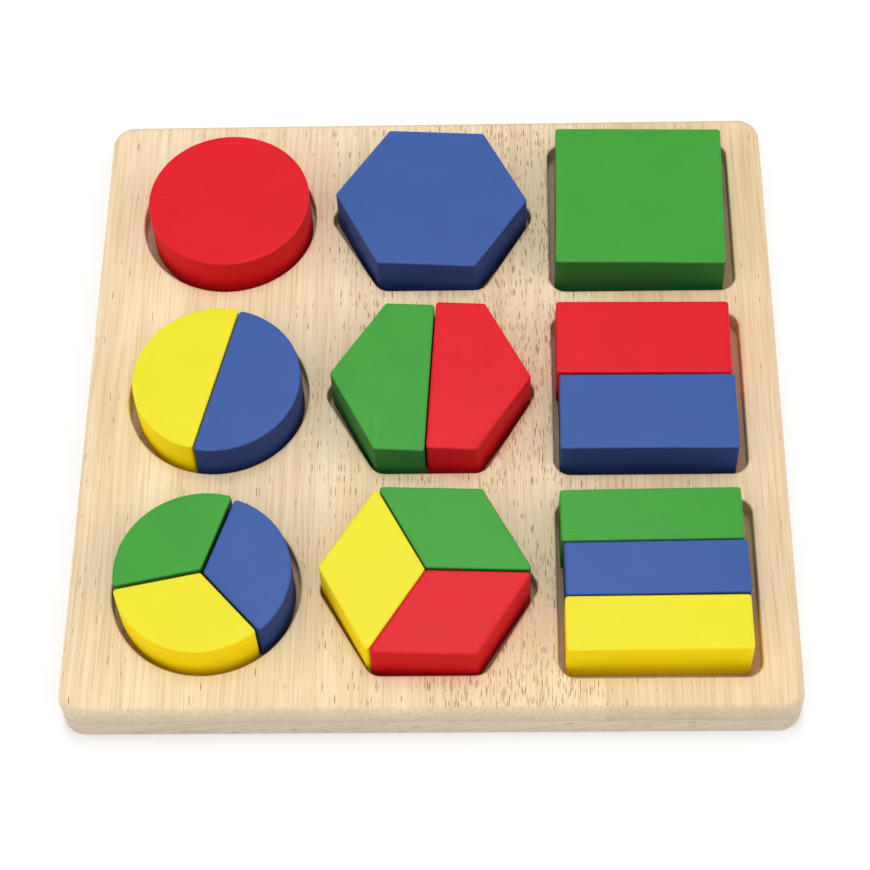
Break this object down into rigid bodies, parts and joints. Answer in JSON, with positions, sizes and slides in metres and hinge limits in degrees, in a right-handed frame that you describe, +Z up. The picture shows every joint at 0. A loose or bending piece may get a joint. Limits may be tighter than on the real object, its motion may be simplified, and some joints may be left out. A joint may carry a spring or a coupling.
{
  "type": "wooden shape puzzle",
  "caption": "Square wooden puzzle board with round, hexagonal and square recesses holding painted lift-out blocks, each shape whole, in halves and in thirds.",
  "frame": {"origin": "centre of the board's underside, on the surface that it rests on", "axes": "+Z up out of the recesses, +X from the column of discs to the column of squares, -Y towards the near edge with the thirds"},
  "size_m": [0.2096, 0.2106, 0.025],
  "materials": {
    "bare_wood": "matt, fine sanded",
    "red_paint": "satin paint on wood",
    "blue_paint": "satin paint on wood",
    "green_paint": "satin paint on wood",
    "yellow_paint": "satin paint on wood"
  },
  "bodies": {
    "board": {"top_panel": "bare_wood", "base_panel": "bare_wood"},
    "red_disc": {"red_disc": "red_paint"},
    "blue_half_disc": {"blue_half_disc": "blue_paint"},
    "yellow_half_disc": {"yellow_half_disc": "yellow_paint"},
    "blue_third_disc": {"blue_third_disc": "blue_paint"},
    "green_third_disc": {"green_third_disc": "green_paint"},
    "yellow_third_disc": {"yellow_third_disc": "yellow_paint"},
    "blue_hexagon": {"blue_hexagon": "blue_paint"},
    "red_half_hexagon": {"red_half_hexagon": "red_paint"},
    "green_half_hexagon": {"green_half_hexagon": "green_paint"},
    "green_rhombus": {"green_rhombus": "green_paint"},
    "yellow_rhombus": {"yellow_rhombus": "yellow_paint"},
    "red_rhombus": {"red_rhombus": "red_paint"},
    "green_square": {"green_square": "green_paint"},
    "red_half_square": {"red_half_square": "red_paint"},
    "blue_half_square": {"blue_half_square": "blue_paint"},
    "green_third_square": {"green_third_square": "green_paint"},
    "blue_third_square": {"blue_third_square": "blue_paint"},
    "yellow_third_square": {"yellow_third_square": "yellow_paint"}
  },
  "joints": [
    {"name": "red_disc_lift", "type": "slide", "parent": "board", "child": "red_disc", "axis": [0, 0, 1], "range_m": [0, 0.03]},
    {"name": "blue_half_disc_lift", "type": "slide", "parent": "board", "child": "blue_half_disc", "axis": [0, 0, 1], "range_m": [0, 0.03]},
    {"name": "yellow_half_disc_lift", "type": "slide", "parent": "board", "child": "yellow_half_disc", "axis": [0, 0, 1], "range_m": [0, 0.03]},
    {"name": "blue_third_disc_lift", "type": "slide", "parent": "board", "child": "blue_third_disc", "axis": [0, 0, 1], "range_m": [0, 0.03]},
    {"name": "green_third_disc_lift", "type": "slide", "parent": "board", "child": "green_third_disc", "axis": [0, 0, 1], "range_m": [0, 0.03]},
    {"name": "yellow_third_disc_lift", "type": "slide", "parent": "board", "child": "yellow_third_disc", "axis": [0, 0, 1], "range_m": [0, 0.03]},
    {"name": "blue_hexagon_lift", "type": "slide", "parent": "board", "child": "blue_hexagon", "axis": [0, 0, 1], "range_m": [0, 0.03]},
    {"name": "red_half_hexagon_lift", "type": "slide", "parent": "board", "child": "red_half_hexagon", "axis": [0, 0, 1], "range_m": [0, 0.03]},
    {"name": "green_half_hexagon_lift", "type": "slide", "parent": "board", "child": "green_half_hexagon", "axis": [0, 0, 1], "range_m": [0, 0.03]},
    {"name": "green_rhombus_lift", "type": "slide", "parent": "board", "child": "green_rhombus", "axis": [0, 0, 1], "range_m": [0, 0.03]},
    {"name": "yellow_rhombus_lift", "type": "slide", "parent": "board", "child": "yellow_rhombus", "axis": [0, 0, 1], "range_m": [0, 0.03]},
    {"name": "red_rhombus_lift", "type": "slide", "parent": "board", "child": "red_rhombus", "axis": [0, 0, 1], "range_m": [0, 0.03]},
    {"name": "green_square_lift", "type": "slide", "parent": "board", "child": "green_square", "axis": [0, 0, 1], "range_m": [0, 0.03]},
    {"name": "red_half_square_lift", "type": "slide", "parent": "board", "child": "red_half_square", "axis": [0, 0, 1], "range_m": [0, 0.03]},
    {"name": "blue_half_square_lift", "type": "slide", "parent": "board", "child": "blue_half_square", "axis": [0, 0, 1], "range_m": [0, 0.03]},
    {"name": "green_third_square_lift", "type": "slide", "parent": "board", "child": "green_third_square", "axis": [0, 0, 1], "range_m": [0, 0.03]},
    {"name": "blue_third_square_lift", "type": "slide", "parent": "board", "child": "blue_third_square", "axis": [0, 0, 1], "range_m": [0, 0.03]},
    {"name": "yellow_third_square_lift", "type": "slide", "parent": "board", "child": "yellow_third_square", "axis": [0, 0, 1], "range_m": [0, 0.03]}
  ]
}
